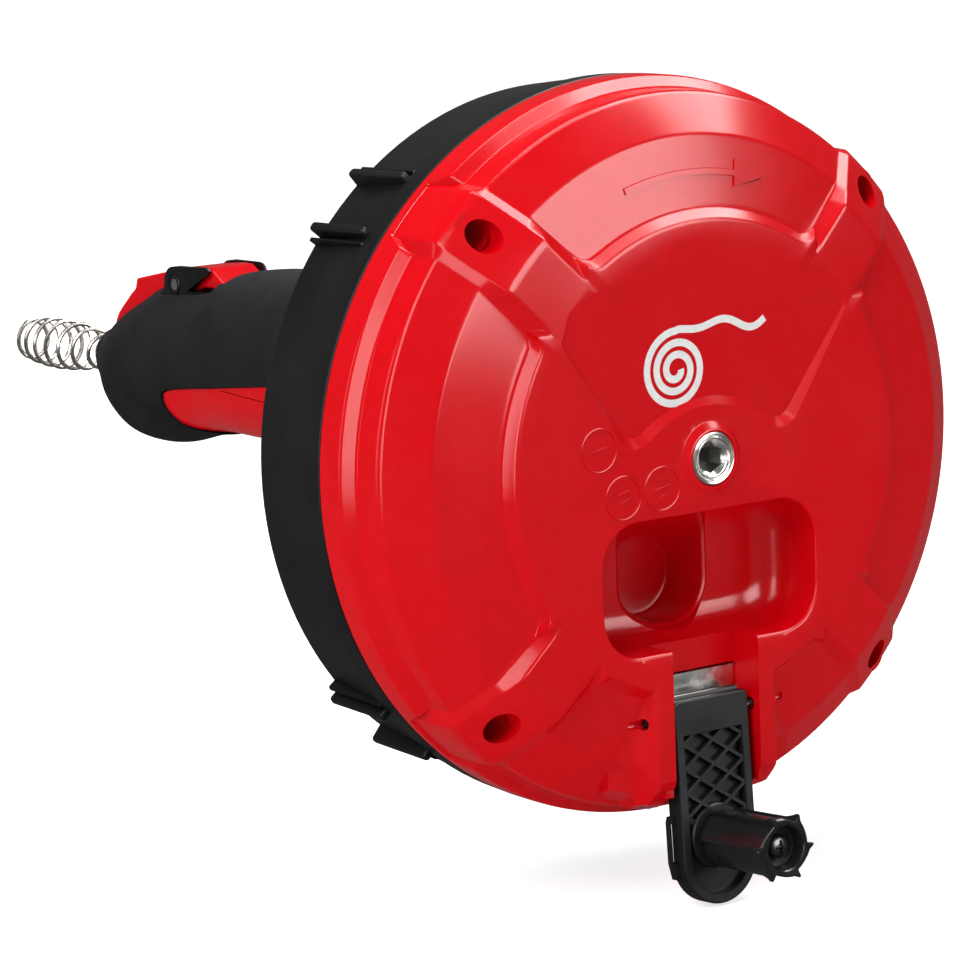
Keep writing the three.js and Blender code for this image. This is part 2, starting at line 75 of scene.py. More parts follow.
camera = {"azimuth": -35.56, "elevation": 9.77, "roll": -2.1, "lens": 157.24,
          "place": (-0.75984, -0.98992, 0.20359)}
studio = {"floorTone": (0.8, 0.8, 0.8), "floorGlow": 0.7, "floorSize": 16, "ambient": 0.42, "mirrored": 0.12,
          "backdrop": 1.0, "aim": (0, 0.03, 0),
          "lights": (("keyLight", (-1.3, -0.6, 1.25), (0.8, 0.8), 18, True),
                     ("topLight", (0.2, 0.1, 1.5), (1.1, 0.9), 20, True),
                     ("sideLight", (-1.5, 0.75, 0.3), (0.4, 1.0), 4, True),
                     ("softBox", (0.7, -2.25, 0.86), (2.2, 1.5), 150, False),
                     ("roofBox", (0.85, -0.1, 1.2), (0.8, 0.8), 30, False),
                     ("leftBox", (-1.55, -1.0, 0.3), (0.42, 1.4), 20, False))}


def makeCamera():
    azimuth, elevation = math.radians(camera["azimuth"]), math.radians(camera["elevation"])
    back = Vector((math.sin(azimuth) * math.cos(elevation), -math.cos(azimuth) * math.cos(elevation),
                   math.sin(elevation)))
    roll = Matrix.Rotation(math.radians(camera["roll"]), 3, "Z")
    turn = back.to_track_quat("Z", "Y") @ roll.to_quaternion()
    data = bpy.data.cameras.new("camera")
    data.lens = camera["lens"]
    data.sensor_width = 36
    obj = bpy.data.objects.new("camera", data)
    bpy.context.scene.collection.objects.link(obj)
    obj.location = Vector(camera["place"]) + Vector((0, seamY, 0))
    obj.rotation_euler = turn.to_euler()
    bpy.context.scene.camera = obj


def makeAreaLight(name, place, size, power, lightsSurfaces):
    data = bpy.data.lights.new(name, "AREA")
    data.shape = "RECTANGLE"
    data.size, data.size_y = size
    data.energy = power
    obj = bpy.data.objects.new(name, data)
    bpy.context.scene.collection.objects.link(obj)
    obj.location = place
    obj.rotation_euler = (Vector(studio["aim"]) - Vector(place)).to_track_quat("-Z", "Y").to_euler()
    obj.visible_diffuse = lightsSurfaces  # the soft boxes only show as reflections


def makeStudio():
    world = bpy.data.worlds.new("studio")
    bpy.context.scene.world = world
    world.use_nodes = True
    tree = world.node_tree
    path = tree.nodes.new("ShaderNodeLightPath")
    strength = tree.nodes["Background"].inputs["Strength"]
    tree.nodes["Background"].inputs["Color"].default_value = (1, 1, 1, 1)
    seen, glossy = tree.nodes.new("ShaderNodeMapRange"), tree.nodes.new("ShaderNodeMapRange")
    glossy.inputs["To Min"].default_value = studio["ambient"]
    glossy.inputs["To Max"].default_value = studio["mirrored"]
    seen.inputs["To Max"].default_value = studio["backdrop"]
    tree.links.new(path.outputs["Is Glossy Ray"], glossy.inputs["Value"])
    tree.links.new(path.outputs["Is Camera Ray"], seen.inputs["Value"])
    tree.links.new(glossy.outputs["Result"], seen.inputs["To Min"])
    tree.links.new(seen.outputs["Result"], strength)
    for light in studio["lights"]:
        makeAreaLight(*light)
    bpy.ops.mesh.primitive_plane_add(size=studio["floorSize"], location=(0, 0, cadBounds[0][2] - 0.0005))
    floor = bpy.context.object
    floor.name = "floor"
    material = bpy.data.materials.new("paleFloor")
    material.use_nodes = True
    shader = material.node_tree.nodes["Principled BSDF"]
    shader.inputs["Base Color"].default_value = (*studio["floorTone"], 1)
    shader.inputs["Roughness"].default_value = 0.9
    shader.inputs["Specular IOR Level"].default_value = 0.1
    shader.inputs["Emission Color"].default_value = (1, 1, 1, 1)
    glow = material.node_tree.nodes.new("ShaderNodeMapRange")
    glow.inputs["To Max"].default_value = studio["floorGlow"]
    path = material.node_tree.nodes.new("ShaderNodeLightPath")
    material.node_tree.links.new(path.outputs["Is Camera Ray"], glow.inputs["Value"])
    material.node_tree.links.new(glow.outputs["Result"], shader.inputs["Emission Strength"])
    floor.data.materials.append(material)
    floor.visible_glossy = False


makeCamera()
makeStudio()
bpy.context.scene.view_settings.view_transform = "Standard"
print("camera, lights and floor are set")


class Recipe:  # one procedural material, wired by short calls
    def __init__(self, name, roughness, metallic=0.0):
        self.material = bpy.data.materials.new(name)
        self.material.use_nodes = True
        self.tree = self.material.node_tree
        self.shader = self.tree.nodes["Principled BSDF"]
        self.shader.inputs["Metallic"].default_value = metallic
        self.shader.inputs["Roughness"].default_value = roughness
        self.coordinates = self.node("ShaderNodeTexCoord").outputs["Object"]
        self.heights = None

    def node(self, kind, **settings):
        made = self.tree.nodes.new(kind)
        for key, value in settings.items():
            setattr(made, key, value)
        return made

    def link(self, source, target):
        self.tree.links.new(source, target)

    def noise(self, scale, detail=3.0, stretch=(1, 1, 1)):
        mapping = self.node("ShaderNodeMapping")
        mapping.inputs["Scale"].default_value = stretch
        self.link(self.coordinates, mapping.inputs["Vector"])
        made = self.node("ShaderNodeTexNoise")
        made.inputs["Scale"].default_value = scale
        made.inputs["Detail"].default_value = detail
        self.link(mapping.outputs["Vector"], made.inputs["Vector"])
        return made.outputs["Fac"]

    def ramp(self, source, low, high, start=0.3, end=0.7):
        made = self.node("ShaderNodeMapRange")
        made.inputs["From Min"].default_value = start
        made.inputs["From Max"].default_value = end
        made.inputs["To Min"].default_value = low
        made.inputs["To Max"].default_value = high
        self.link(source, made.inputs["Value"])
        return made.outputs["Result"]

    def colour(self, source, dark, light, start=0.3, end=0.7):
        made = self.node("ShaderNodeValToRGB")
        made.color_ramp.elements[0].position = start
        made.color_ramp.elements[0].color = (*dark, 1)
        made.color_ramp.elements[1].position = end
        made.color_ramp.elements[1].color = (*light, 1)
        self.link(source, made.inputs["Fac"])
        self.link(made.outputs["Color"], self.shader.inputs["Base Color"])

    def roughness(self, source, low, high, start=0.3, end=0.7):
        self.link(self.ramp(source, low, high, start, end), self.shader.inputs["Roughness"])

    def bump(self, source, depth, strength=1.0):
        made = self.node("ShaderNodeBump")
        made.inputs["Distance"].default_value = depth
        made.inputs["Strength"].default_value = strength
        self.link(source, made.inputs["Height"])
        if self.heights is not None:
            self.link(self.heights, made.inputs["Normal"])
        self.heights = made.outputs["Normal"]
        self.link(self.heights, self.shader.inputs["Normal"])


# Base roughness, metal, grain noise, dark and light colour, gloss noise, its range, relief noise, its dents.
looks = {
    "redPlastic": (0.24, 0, (220, 3), (0.61, 0.0006, 0.004), (0.65, 0.001, 0.006), (45, 4), (0.17, 0.22),
                   (1400, 2), (0.00002, 0.2)),
    "blackPlastic": (0.4, 0, (30, 4), (0.006, 0.006, 0.0065), (0.012, 0.0115, 0.0115), (60, 4), (0.36, 0.48),
                     (2600, 2), (0.00005, 0.35)),
    "blackRubber": (0.75, 0, (40, 5), (0.005, 0.005, 0.0065), (0.010, 0.0095, 0.0115), (90, 4), (0.62, 0.82),
                    (1500, 3), (0.00018, 0.5)),
    "brightSteel": (0.22, 1, (160, 3, (1, 9, 1)), (0.60, 0.585, 0.555), (0.80, 0.785, 0.755), (220, 3),
                    (0.14, 0.30), (160, 3, (1, 9, 1)), (0.00003, 0.3)),
    "springSteel": (0.28, 1, (180, 4), (0.5, 0.465, 0.42), (0.74, 0.70, 0.645), (300, 3), (0.2, 0.36),
                    (1800, 3), (0.00003, 0.4)),
    "zincPlate": (0.35, 1, (260, 4), (0.34, 0.345, 0.36), (0.56, 0.565, 0.58), (150, 4), (0.26, 0.48),
                  (900, 4), (0.00004, 0.4)),
    "blackSteel": (0.35, 0.9, (260, 4), (0.03, 0.03, 0.032), (0.07, 0.068, 0.066), (200, 3), (0.24, 0.4),
                   (1200, 3), (0.00003, 0.4)),
    "sinteredBronze": (0.5, 1, (420, 5), (0.33, 0.19, 0.07), (0.62, 0.40, 0.19), (420, 5), (0.4, 0.6),
                       (1400, 4), (0.00006, 0.6)),
    "whitePrint": (0.45, 0, (500, 4), (0.74, 0.74, 0.73), (0.84, 0.84, 0.83), None, None,
                   (2400, 2), (0.00002, 0.4))}
specular = {"redPlastic": 0.22, "blackPlastic": 0.2, "blackRubber": 0.3}


def mix(name):
    rough, metal, grain, dark, light, gloss, shine, relief, dents = looks[name]
    recipe = Recipe(name, rough, metal)
    recipe.colour(recipe.noise(*grain), dark, light)
    if gloss:
        recipe.roughness(recipe.noise(*gloss), *shine)
    recipe.bump(recipe.noise(*relief), *dents)
    if name in specular:
        recipe.shader.inputs["Specular IOR Level"].default_value = specular[name]
    return recipe.material


redPlastic, blackPlastic, blackRubber, brightSteel, springSteel, zincPlate, blackSteel, bronze, whitePrint = [
    mix(name) for name in looks]
print("materials are mixed")


def newObject(name, bm):
    bmesh.ops.remove_doubles(bm, verts=bm.verts, dist=1e-4)
    bmesh.ops.recalc_face_normals(bm, faces=bm.faces)
    mesh = bpy.data.meshes.new(name)
    bm.to_mesh(mesh)
    bm.free()
    obj = bpy.data.objects.new(name, mesh)
    bpy.context.scene.collection.objects.link(obj)
    return obj


def turned(name, outline, steps=96, place=None):
    bm = bmesh.new()
    verts = [bm.verts.new((radius, y, 0)) for radius, y in outline]
    pairs = list(zip(verts, verts[1:]))
    if outline[0][0] > 0:
        pairs.append((verts[-1], verts[0]))
    edges = [bm.edges.new(pair) for pair in pairs]
    bmesh.ops.spin(bm, geom=verts + edges, cent=(0, 0, 0), axis=(0, 1, 0), angle=fullTurn, steps=steps,
                   use_merge=True, use_duplicate=False)
    if place:
        bmesh.ops.transform(bm, matrix=place, verts=bm.verts)
    return newObject(name, bm)


def lofted(name, loops):
    bm = bmesh.new()
    verts = [bm.verts.new(point) for point in loops[0]]
    edges = [bm.edges.new((verts[i - 1], verts[i])) for i in range(len(verts))]
    bm.faces.new(verts)
    ring = verts
    for loop in loops[1:]:
        ringEdges = [bm.edges.get((ring[i - 1], ring[i])) for i in range(len(ring))]
        made = bmesh.ops.extrude_edge_only(bm, edges=ringEdges)["geom"]
        following = {}
        for vert in made:
            if isinstance(vert, bmesh.types.BMVert):
                for link in vert.link_edges:
                    other = link.other_vert(vert)
                    if other in ring:
                        following[other] = vert
        ring = [following[vert] for vert in ring]
        for vert, point in zip(ring, loop):
            vert.co = point
    bm.faces.new(ring)
    return newObject(name, bm)


def roundedRectangle(x, z, radius, steps=8):
    points = []
    corners = ((x[1], z[0], -90), (x[1], z[1], 0), (x[0], z[1], 90), (x[0], z[0], 180))
    for cornerX, cornerZ, start in corners:
        centreX = cornerX - math.copysign(radius, cornerX - (x[0] + x[1]) / 2)
        centreZ = cornerZ - math.copysign(radius, cornerZ - (z[0] + z[1]) / 2)
        for i in range(steps + 1):
            angle = math.radians(start + 90 * i / steps)
            points.append((centreX + radius * math.cos(angle), centreZ + radius * math.sin(angle)))
    return points


def plateLoops(outlineAt, stations):
    return [[(x, y, z) for x, z in outlineAt(inset)] for y, inset in stations]


def roundedStations(y0, y1, radius, steps=4):
    arc = [math.radians(90 * i / steps) for i in range(steps + 1)]
    first = [(y0 + radius * (1 - math.sin(a)), radius * (1 - math.cos(a))) for a in reversed(arc)]
    last = [(y1 - radius * (1 - math.sin(a)), radius * (1 - math.cos(a))) for a in arc]
    return first + last


def combine(base, tool, operation):
    modifier = base.modifiers.new(operation.lower(), "BOOLEAN")
    modifier.operation = operation
    modifier.solver = "MANIFOLD"
    modifier.object = tool
    depsgraph = bpy.context.evaluated_depsgraph_get()
    mesh = bpy.data.meshes.new_from_object(base.evaluated_get(depsgraph))
    base.modifiers.clear()
    base.data = mesh
    bpy.data.objects.remove(tool)
    return base


def add(base, *tools):
    for tool in tools:
        combine(base, tool, "UNION")


def cut(base, *tools):
    for tool in tools:
        combine(base, tool, "DIFFERENCE")


def finishPiece(obj, name, body, material, replaced=(), place=seamPlace, sharp=32, weighted=True):
    bm = bmesh.new()
    bm.from_mesh(obj.data)
    bmesh.ops.remove_doubles(bm, verts=bm.verts, dist=2e-3)
    bmesh.ops.dissolve_degenerate(bm, edges=bm.edges, dist=1e-3)
    bmesh.ops.transform(bm, matrix=place, verts=bm.verts)
    bm.to_mesh(obj.data)
    bm.free()
    obj.name = name
    obj.data.name = name
    obj.data.polygons.foreach_set("use_smooth", [True] * len(obj.data.polygons))
    obj.data.set_sharp_from_angle(angle=math.radians(sharp))
    obj.data.materials.clear()
    obj.data.materials.append(material)
    if weighted:
        modifier = obj.modifiers.new("weightedNormals", "WEIGHTED_NORMAL")
        modifier.keep_sharp = True
        modifier.weight = 80
    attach(obj, body)
    if replaced:
        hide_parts(*replaced)
    return obj


def alongY(angle):
    return Matrix.Rotation(math.radians(angle), 4, "Y")


def rodAcross(name, radius, x0, x1, y, z, steps=32):
    turn = Matrix.Translation((0, y, z)) @ Matrix.Rotation(math.radians(-90), 4, "Z")
    return turned(name, [(0, x0), (radius, x0), (radius, x1), (0, x1)], steps, turn)


cover = {
    "faceY": -40.2, "spokes": 4, "halfSectorColumns": 16, "cornerRound": 4.0, "footOffset": 13.3,
    "pocketX": (-40, 39), "pocketZ": (-55.2, -15.6), "pocketCorner": 13, "pocketFloor": -20,
    "pocketFillet": 10, "wellZ": -39.5, "wellR": 12.25, "wellFloor": -2.2, "wellOpenZ": -25.5,
    "wellFlare": 7.5,
    "channel": 16, "bossRadius": 100, "bossHole": 4.75,
}
# Each ring of the dish: radius and y in a panel, then radius and y on a spoke.
coverRings = [
    (0, -40.2, 0, -40.2), (13, -40.2, 13, -40.2), (64, -40.2, 64, -40.2), (66, -40.16, 66, -40.12),
    (68.8, -40.02, 68.8, -39.9), (69.7, -39.9, 69.7, -39.82), (70.15, -39.6, 70.15, -39.78),
    (70.4, -39.15, 70.4, -39.76), (72.2, -37.1, 72.2, -39.61), (72.6, -36.65, 72.6, -39.58),
    (73.3, -36.3, 73.3, -39.52), (74.4, -36.05, 74.4, -39.44), (80, -35.05, 80, -38.98),
    (86.5, -33.85, 86.5, -38.46), (88.0, -33.56, 88.0, -38.3), (89.0, -33.36, 89.0, -37.85),
    (92.9, -32.66, 92.9, -35.08), (93.7, -32.35, 93.7, -34.5), (94.5, -31.85, 94.5, -33.91),
    (99.5, -28.22, 99.5, -30.26), (104.8, -24.4, 105.2, -26.1), (105.5, -23.75, 106.4, -25.1),
    (105.9, -23.0, 107.7, -23.6), (106.0, -21.8, 108.5, -21.9), (106.35, -14.5, 108.8, -18),
    (106.5, -13.85, 108.95, -12), (106.9, -13.3, 109.05, -6), (109.4, -10.9, 109.1, -4.0),
    (109.75, -10.4, 109.2, -3.6), (109.9, -9.7, 109.7, -3.4), (110, -8.5, 109.95, -3.1),
    (110, -1.0, 110, -1.0), (109.7, -0.15, 109.7, -0.15), (107.0, -0.15, 107.0, -0.15),
    (107.0, -9.2, 107.0, -9.2), (103.4, -12.2, 103.4, -12.2), (103, -21.8, 103, -21.8),
    (92, -29.0, 92, -29.0), (71.5, -33.0, 71.5, -33.0), (67, -36.9, 67, -36.9),
    (13, -37.2, 13, -37.2), (0, -37.2, 0, -37.2),
]
# Columns from the middle of a spoke outward: sideways offset, and how much of the spoke is left there.
spokeColumns = [(0, 1), (3.2, 1), (6.2, 1), (8.2, 1), (8.8, 0.998), (9.25, 0.98), (9.6, 0.93), (10.0, 0.84),
                (12.3, 0.17), (12.7, 0.08), (13.1, 0.025), (13.6, 0), (14.2, 0), (15.0, 0), (16.2, 0)]
outerColumns = cover["halfSectorColumns"]  # from the foot of a spoke to the middle of the panel


def columnAt(index):
    if index < len(spokeColumns):
        return (*spokeColumns[index], 0)
    return (spokeColumns[-1][0], 0, (index - len(spokeColumns) + 1) / outerColumns)


def coverPoint(ring, side, index):
    panelR, panelY, spokeR, spokeY = coverRings[ring]
    offset, share, fraction = columnAt(index)
    near = max(0, cover["cornerRound"] - max(0, offset - cover["footOffset"]))
    if share < 0.3 and fraction == 0 and panelY < -30 and ring < len(coverRings) - 6:
        rounding = cover["cornerRound"] - math.sqrt(cover["cornerRound"] ** 2 - near ** 2)
        panelR += rounding * max(0, 1 - abs(panelR - 71.5) / 10)
    radius = panelR + (spokeR - panelR) * share
    y = panelY + (spokeY - panelY) * share
    if radius == 0:
        return Vector((0, y, 0))
    angle = math.asin(offset / max(radius, 62))
    angle += (math.pi / cover["spokes"] - angle) * fraction
    return Vector((radius * math.cos(angle), y, side * radius * math.sin(angle)))


def coverDish():
    half = len(spokeColumns) - 1 + outerColumns
    sector = 2 * half
    bm = bmesh.new()
    line = [bm.verts.new((ring + 1, 0, 0)) for ring in range(len(coverRings))]
    edges = [bm.edges.new(pair) for pair in zip(line, line[1:])]
    bmesh.ops.spin(bm, geom=line + edges, cent=(0, 0, 0), axis=(0, 1, 0), angle=fullTurn,
                   steps=sector * cover["spokes"], use_merge=True, use_duplicate=False)
    for vert in bm.verts:
        ring = round(math.hypot(vert.co.x, vert.co.z)) - 1
        column = round(math.atan2(-vert.co.z, vert.co.x) / fullTurn * sector * cover["spokes"])
        spoke, step = divmod(column + half, sector)
        step -= half
        point = coverPoint(ring, -1 if step < 0 else 1, abs(step))
        turn = math.radians(45 + 360 / cover["spokes"] * spoke)
        vert.co = Matrix.Rotation(-turn, 3, "Y") @ Vector((point.x, point.y, point.z))
    return newObject("rearCover", bm)


def pocketOutline(inset):
    x, z = cover["pocketX"], cover["pocketZ"]
    corner = max(0.6, cover["pocketCorner"] - inset)
    return roundedRectangle((x[0] + inset, x[1] - inset), (z[0] + inset, z[1] - inset), corner, 12)


def pocketCutter():
    fillet, floor = cover["pocketFillet"], cover["pocketFloor"]
    stations = [(cover["faceY"] - 2, -1.6), (cover["faceY"] - 0.02, -0.9), (cover["faceY"] + 0.2, -0.5),
                (cover["faceY"] + 0.5, -0.2), (cover["faceY"] + 0.9, 0)]
    for i in range(9):
        angle = math.radians(90 * i / 8)
        stations.append((floor - fillet * (1 - math.sin(angle)), fillet * (1 - math.cos(angle))))
    return lofted("pocketCutter", plateLoops(pocketOutline, stations))


def stadium(radius, lowZ, highZ, flare=0, steps=16):
    low = [math.pi + math.pi * i / steps for i in range(steps + 1)]
    high = [math.pi * i / steps for i in range(steps + 1)]
    points = [(radius * math.cos(a), lowZ + radius * math.sin(a)) for a in low]
    points += [(radius * math.cos(a), highZ + radius * math.sin(a)) for a in high]
    return [(x - flare * max(0, -x / radius) ** 0.7, z) for x, z in points]


def wellLoops(grow, top):
    loops = []
    span = cover["wellFloor"] - cover["pocketFloor"]
    for depth, inset in ((0, -1.5), (0.4, -0.9), (1.0, -0.3), (1.6, 0), (6, 0), (11, 0), (span - 1.5, 0),
                         (span - 0.4, 0.4), (span, 1.5)):
        share = 1 - depth / span
        highZ = cover["wellZ"] + (cover["wellOpenZ"] - cover["wellZ"]) * share
        flare = cover["wellFlare"] * max(0, 1 - depth / 11)
        radius = cover["wellR"] + (grow or -inset)
        y = top if depth == 0 else cover["pocketFloor"] + depth
        loops.append([(x, y, z) for x, z in stadium(radius, cover["wellZ"], highZ, flare)])
    return loops


def bossPlace(index):
    return alongY(45 + 90 * index) @ Matrix.Translation((cover["bossRadius"], 0, 0))


def coverAdditions():
    yield lofted("tray", plateLoops(lambda inset: pocketOutline(inset - 3),
                                    [(-38.6, 0), (-19, 0), (-17, 2)]))
    wall = wellLoops(3, cover["pocketFloor"] - 1)
    yield lofted("wellWall", wall + [[(x, cover["wellFloor"] + 2.9, z) for x, y, z in wall[-1]]])
    yield turned("hubBoss", [(0, -38.8), (13, -38.8), (13, -21), (0, -21)], 64)
    yield turned("collar", [(0, -42), (8.7, -42), (9.0, -41.85), (10.7, -40.3), (11.2, -40.1), (11.4, -39),
                            (0, -39)], 96)
    for index in range(cover["spokes"]):
        yield turned("post", [(0, -25), (7.2, -25), (7.2, -0.5), (0, -0.5)], 40, bossPlace(index))


def cheekProfile(drop):
    top = cover["faceY"] + drop
    rise = max(0, drop - 0.5) * 1.3
    return [(top, -52), (top, -93 + rise), (top + 0.35, -95.2 + rise), (top + 1.6, -97 + rise),
            (max(-31.5, top + 2), -104.2 + rise), (-24.2, -107.4 + rise), (-21.5, -106 + rise), (-21.5, -52)]


cheekFoot = ((12, 0.02), (20.9, 0.02), (21.8, 0.12), (22.5, 0.5), (23.0, 1.2), (23.4, 2.2), (24.0, 3.4),
             (24.9, 4.5), (26.2, 5.4), (28, 6.1), (30.5, 6.7), (34, 7.6))  # sideways, down from the face
cheekReach = ((0, -45), (103.5, -45), (103.5, -33), (105.8, -27), (105.8, -18), (0, -18))


def cheek(side):
    loops = [[(side * x, y, z) for y, z in cheekProfile(drop)] for x, drop in cheekFoot]
    made = lofted("cheek", loops)
    return combine(made, turned("reach", cheekReach, 128), "INTERSECT")


def boxPiece(name, x, y, z):
    bm = bmesh.new()
    made = bmesh.ops.create_cube(bm, size=1)["verts"]
    size = Matrix.Diagonal((x[1] - x[0], y[1] - y[0], z[1] - z[0], 1))
    middle = Matrix.Translation(((x[0] + x[1]) / 2, (y[0] + y[1]) / 2, (z[0] + z[1]) / 2))
    bmesh.ops.transform(bm, matrix=middle @ size, verts=made)
    return newObject(name, bm)


labelRecess = {"arcCentre": -20.3, "arcR": 38.3, "halfWidth": 23.5, "sideTop": (51.9, 39.1), "depth": 2.0,
               "fadeZ": 54, "slope": 1.5}


def labelCutter():
    arc = math.asin(labelRecess["halfWidth"] / labelRecess["arcR"])
    points = []
    for i in range(25):
        angle = -arc + 2 * arc * i / 24
        points.append((labelRecess["arcR"] * math.sin(angle),
                       labelRecess["arcCentre"] + labelRecess["arcR"] * math.cos(angle)))
    side = [(25.8, 8.9), (28.2, 8.8), (30.4, 10.2), labelRecess["sideTop"], (50, 46), (44, 54), (20, 60)]
    points += side + [(-x, z) for x, z in reversed(side)]

    def loop(rise):
        made = []
        for i, (x, z) in enumerate(points):
            depth = labelRecess["depth"] * (1 - (z - 8) / (labelRecess["fadeZ"] - 8))
            before, after = Vector(points[i - 1]), Vector(points[(i + 1) % len(points)])
            along = (after - before).normalized()
            spread = labelRecess["slope"] * max(0, depth + rise) if rise else 0
            made.append((x + along.y * spread, cover["faceY"] + (-rise if rise else depth),
                         z - along.x * spread))
        return made
    return lofted("labelCutter", [loop(1.2), loop(0)])


def makeRearCover():
    dish = coverDish()
    add(dish, *coverAdditions())
    add(dish, cheek(-1), cheek(1), boxPiece("channelBed", (-19, 19), (-38.8, -22.6), (-99, -53.8)))
    channel = cover["channel"]
    cut(dish, pocketCutter(), lofted("wellCutter", wellLoops(0, cover["pocketFloor"] - 4)))
    cut(dish, boxPiece("channelCutter", (-channel, channel), (-45, -25.5), (-112, -64.4)))
    cut(dish, boxPiece("throatCutter", (-channel, channel), (-45, -28.9), (-66, -50)))
    couplerBore = [(0, -44), (8.2, -44), (8.2, -24), (5.3, -24), (5.3, -20), (0, -20)]
    cut(dish, turned("couplerBore", couplerBore, 64))
    cut(dish, labelCutter())
    hole = cover["bossHole"]
    bossHole = [(0, -45), (hole, -45), (hole, -9), (2.6, -9), (2.6, 1), (0, 1)]
    for index in range(cover["spokes"]):
        cut(dish, turned("bossHole", bossHole, 48, bossPlace(index)))
    pinY, pinZ = crankPin.y / mm - seamY / mm, crankPin.z / mm
    for x0, x1 in ((-29, -20), (20, 29)):
        cut(dish, rodAcross("pinWay", 1.25, x0, x1, pinY + 0.6, pinZ, 24))
    cut(dish, rodAcross("pinBore", 1.8, -25, 25, pinY, pinZ, 24))
    finishPiece(dish, "rear_cover_shell", "drum", redPlastic, ["rear_cover"])


makeRearCover()
print("rear cover is cut")


marks = {"printWidth": 2.2, "coilMiddle": (-11, 27), "coilTurns": 2.75, "coilStart": 1.8, "coilEnd": 11.5,
         "tail": 33, "arrowR": (80.8, 85.2),
         "arrowFrom": 107, "arrowNeck": 79, "arrowTip": 72, "arrowRise": 0.55,
         "rings": ((-40.6, 7.2), (-32.4, -7.6), (-18.2, -6.6))}


def panelY(radius):
    return -36.05 + (radius - 74.4) * (36.05 - 33.56) / (88.0 - 74.4)


def recessY(z):
    depth = labelRecess["depth"] * (1 - (z - 8) / (labelRecess["fadeZ"] - 8))
    return cover["faceY"] + max(0, depth)


def ribbon(name, path, width, rise, surface):
    loops = []
    for i, (x, z) in enumerate(path):
        before, after = Vector(path[max(0, i - 1)]), Vector(path[min(len(path) - 1, i + 1)])
        along = (after - before).normalized()
        side = Vector((-along.y, along.x)) * width / 2
        ends = [(x + side.x, z + side.y), (x - side.x, z - side.y)]
        top = [(px, surface(pz) - rise, pz) for px, pz in ends]
        bottom = [(px, surface(pz) + 0.3, pz) for px, pz in reversed(ends)]
        loops.append(top + bottom)
    return lofted(name, loops)


def makePrint():
    path = []
    midX, midZ = marks["coilMiddle"]
    for i in range(101):
        share = i / 100
        angle = math.radians(90) + fullTurn * marks["coilTurns"] * (1 - share)
        radius = marks["coilStart"] + (marks["coilEnd"] - marks["coilStart"]) * share
        path.append((midX + radius * math.cos(angle), midZ + radius * math.sin(angle)))
    lastX, lastZ = path[-1]
    for i in range(1, 41):
        share = i / 40
        wave = 2.6 * math.sin(fullTurn * share * 1.5) * share
        path.append((lastX + marks["tail"] * share, lastZ + 0.3 - wave))
    strip = ribbon("coilMark", path, marks["printWidth"], 0.12, recessY)
    finishPiece(strip, "coil_mark", "drum", whitePrint, weighted=False)


def makeArrow():
    loops = []
    low, high = marks["arrowR"]
    middle = (low + high) / 2
    start, neck, tip = marks["arrowFrom"], marks["arrowNeck"], marks["arrowTip"]
    stations = [(start + (neck - start) * i / 24, (high - low) / 4) for i in range(25)]
    stations += [(neck - 0.02, (high - low) * 0.95), (tip, 0.1)]
    for degrees, half in stations:
        angle = math.radians(degrees)
        corners = []
        for radius, rise in ((middle - half, 0.4), (middle - half + 0.25, -marks["arrowRise"]),
                             (middle + half - 0.25, -marks["arrowRise"]), (middle + half, 0.4)):
            corners.append((radius * math.cos(angle), panelY(radius) + rise, radius * math.sin(angle)))
        loops.append(corners)
    finishPiece(lofted("turnArrow", loops), "turn_arrow", "drum", redPlastic)


def makeRings():
    face = cover["faceY"]
    base = None
    for index, (x, z) in enumerate(marks["rings"]):
        place = Matrix.Translation((x, 0, z))
        ring = turned("ring", [(5.9, face + 0.4), (6.05, face - 0.3), (6.3, face - 0.38), (6.55, face - 0.3),
                               (6.7, face + 0.4)], 64, place)
        pieces = [ring]
        for bar in range(index + 1):
            shift = (bar - index / 2) * 2.6
            reach = 2.6 - abs(shift) / 2
            strip = [(x - reach, z + shift - 0.5), (x + reach, z + shift + 0.5)]
            pieces.append(ribbon("bar", strip, 0.6, 0.36, lambda height: face))
        for piece in pieces:
            if base is None:
                base = piece
            else:
                add(base, piece)
    finishPiece(base, "care_rings", "drum", redPlastic)


makePrint()
makeArrow()
makeRings()
print("marks are raised")


drum = {"lugTurn": 5.3, "lugY": (7.6, 36.0), "lugTop": 112.1, "lugHalf": 1.45, "ribs": 12}
drumOutline = [
    (109.7, 0.15), (109.95, 0.45), (109.62, 7.7), (109.5, 8.1), (109.15, 8.5), (109.1, 8.8),
    (105.95, 35.6), (105.75, 36.6), (105.3, 37.4), (104.6, 38.1), (102.5, 40.0), (101.2, 40.5), (99.5, 40.75),
    (88, 41.7), (87, 41.9), (86.3, 42.4), (85.6, 42.7), (84.6, 42.75), (60, 44.1), (36.5, 46.6), (35.2, 46.8),
    (34.2, 47.3), (33.4, 48.2), (28.4, 51.3), (27.7, 51.75), (27, 52), (13.9, 52), (13.3, 51.6), (13.3, 46),
    (23.4, 46), (25, 43), (60, 40.5), (101, 36.4), (102.8, 34), (106.4, 8), (107, 0.15),
]


def drumFaceY(radius):
    return 44.1 - (radius - 60) * (44.1 - 42.75) / 24.6


def lugBody(name, half, top, base):
    def outline(inset):
        low, high = drum["lugY"]
        return roundedRectangle((low + inset, high - inset), (-half + inset, half - inset),
                                max(0.3, 1.1 - inset), 5)
    loops = []
    for radius, inset in ((base, 0), (top - 0.9, 0), (top - 0.35, 0.22), (top, 0.8)):
        loops.append([(radius - (0 if radius == base else max(0, y - 20) * 0.06), y, z)
                      for y, z in outline(inset)])
    return lofted(name, loops)


